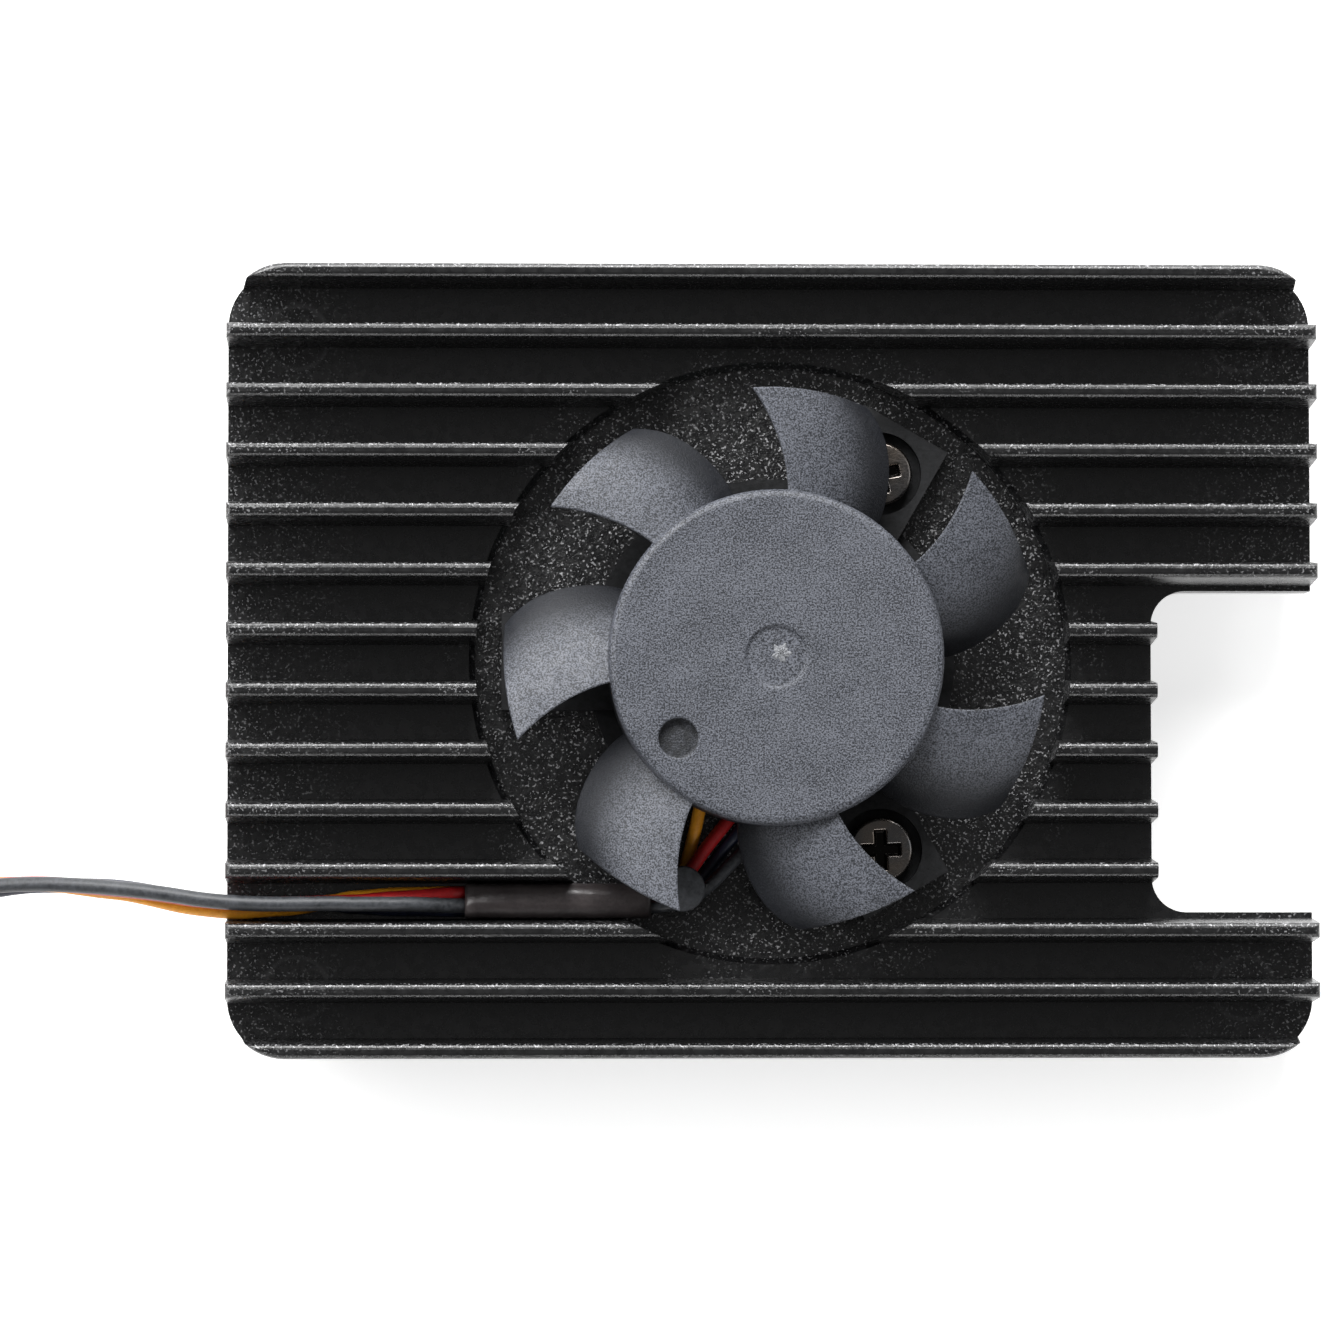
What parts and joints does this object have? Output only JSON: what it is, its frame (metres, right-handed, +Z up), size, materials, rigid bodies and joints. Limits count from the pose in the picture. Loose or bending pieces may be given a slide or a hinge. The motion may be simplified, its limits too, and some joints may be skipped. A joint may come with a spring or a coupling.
{
  "type": "compute module cooling fan and heat sink",
  "caption": "Low finned heat sink for a small compute module, with a flat frameless axial fan sunk in a round pocket, an antenna notch, standoffs and a coiled plug lead.",
  "frame": {"origin": "centre of the rectangular footprint, on the end faces of the standoffs", "axes": "+X along the fins towards the antenna notch, +Z up along the fan's axis, +Y across the fins"},
  "size_m": [0.0922, 0.04, 0.0114],
  "materials": {
    "black_aluminium": "black powder coat, fine sparkling grain",
    "nickel_brass": "nickel plated",
    "thermal_pad": "matte silicone",
    "fan_plastic": "smooth dark moulding",
    "impeller_plastic": "fine spark-eroded texture, slate grey",
    "screw_steel": "zinc plated, lightly brushed",
    "brass": "turned",
    "sintered_bronze": "sintered, oil filled",
    "nylon": "natural nylon",
    "silicon_steel": "laminated sheet steel",
    "copper_wire": "enamelled copper winding",
    "circuit_board": "green solder mask",
    "chip_black": "moulded epoxy",
    "capacitor_ceramic": "ceramic body",
    "solder": "bright solder",
    "magnet": "bonded ferrite",
    "wire_yellow": "satin insulation",
    "wire_red": "satin insulation",
    "wire_blue": "satin insulation",
    "wire_black": "satin insulation",
    "heat_shrink": "semi-matte heat-shrink tube",
    "tie_nylon": "natural nylon",
    "connector_nylon": "ivory nylon",
    "contact_metal": "tin plated"
  },
  "bodies": {
    "cooler": {"heat_sink": "black_aluminium", "module_standoffs": "nickel_brass", "processor_thermal_pad": "thermal_pad", "memory_thermal_pad": "thermal_pad", "power_chip_thermal_pad": "thermal_pad", "fan_base": "fan_plastic", "base_screws": "screw_steel", "bearing_tube": "brass", "sleeve_bearing": "sintered_bronze", "thrust_pad": "nylon", "oil_seal_washer": "nylon", "stator_core": "silicon_steel", "stator_insulator_lower": "nylon", "stator_insulator_upper": "nylon", "stator_coils": "copper_wire", "fan_circuit_board": "circuit_board", "driver_chip": "chip_black", "chip_capacitors": "capacitor_ceramic", "solder_joints": "solder", "lead_yellow": "wire_yellow", "lead_red": "wire_red", "lead_blue": "wire_blue", "lead_black": "wire_black", "heat_shrink_sleeve": "heat_shrink", "fan_cable": "wire_black", "fan_cable_coil": "wire_black", "fan_cable_tail": "wire_black", "cable_tie": "tie_nylon", "connector_housing": "connector_nylon", "connector_contacts": "contact_metal"},
    "rotor": {"impeller": "impeller_plastic", "rotor_yoke": "silicon_steel", "ring_magnet": "magnet", "shaft": "screw_steel", "retaining_clip": "nylon", "shaft_bush": "brass"}
  },
  "joints": [
    {"name": "rotor_spin", "type": "hinge", "parent": "cooler", "child": "rotor", "pos_m": [0, 0, 0.0075], "axis": [0, 0, 1], "continuous": true}
  ]
}
